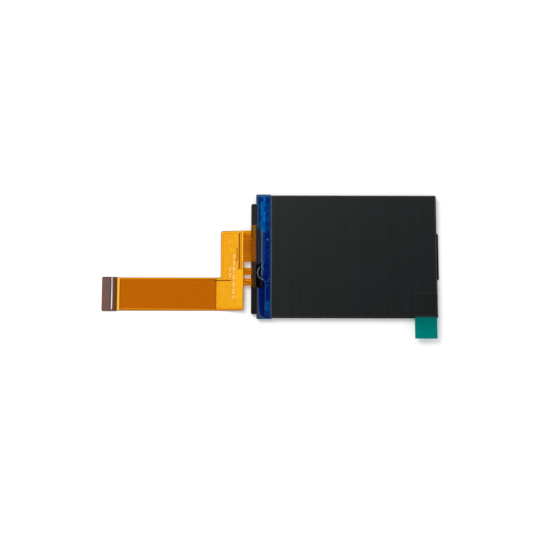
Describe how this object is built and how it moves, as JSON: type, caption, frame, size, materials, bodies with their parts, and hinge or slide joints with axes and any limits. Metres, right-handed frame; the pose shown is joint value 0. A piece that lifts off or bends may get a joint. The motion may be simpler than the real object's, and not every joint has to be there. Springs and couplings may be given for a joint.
{
  "type": "tft display module",
  "caption": "Small colour liquid crystal display with edge-lit backlight, glass ledge under blue sealant, peel-off film with pull tab and an L-shaped flex circuit tail.",
  "frame": {"origin": "centre of the backlight's rear face, under the middle of the array glass", "axes": "+X away from the flex tail along the display's long side, +Y along its short side, +Z out of the display towards the viewer"},
  "size_m": [0.1125, 0.0485, 0.0023],
  "materials": {
    "reflector_white": "silvery white film",
    "frame_black": "fine moulded texture",
    "guide_clear": "clear",
    "film_frosted": "frosted",
    "tape_black": "satin",
    "polariser_charcoal": "satin",
    "cell_glass": "cut edges",
    "seal_resin": "cured resin",
    "crystal_layer": "clear layer",
    "film_dark": "clear film, faint streaks",
    "tab_teal": "translucent film",
    "chip_silicon": "ground silicon",
    "sealant_blue": "glossy translucent gel with bubbles",
    "flex_amber": "amber film with copper traces",
    "stiffener_brown": "satin laminate",
    "contact_gold": "gold plate",
    "solder_bright": "bright solder",
    "lamp_white": "white moulding",
    "capacitor_tan": "ceramic with bright ends"
  },
  "bodies": {
    "root": {"reflector_film": "reflector_white", "backlight_frame": "frame_black", "light_guide": "guide_clear", "diffuser_film": "film_frosted", "prism_film_lower": "film_frosted", "prism_film_upper": "film_frosted", "rim_tape": "tape_black", "rear_polariser": "polariser_charcoal", "array_glass": "cell_glass", "cell_seal": "seal_resin", "liquid_crystal": "crystal_layer", "colour_filter_glass": "cell_glass", "front_polariser": "polariser_charcoal", "protective_film": "film_dark", "pull_tab": "tab_teal", "driver_chip": "chip_silicon", "ledge_sealant": "sealant_blue", "flex_circuit": "flex_amber", "flex_stiffener": "stiffener_brown", "contact_fingers": "contact_gold", "bond_tape": "tape_black", "lamp_flex": "flex_amber", "lamp_solder": "solder_bright", "side_lamp_1": "lamp_white", "side_lamp_2": "lamp_white", "side_lamp_3": "lamp_white", "side_lamp_4": "lamp_white", "chip_capacitor_1": "capacitor_tan", "chip_capacitor_2": "capacitor_tan", "chip_capacitor_3": "capacitor_tan", "chip_capacitor_4": "capacitor_tan"}
  },
  "joints": []
}
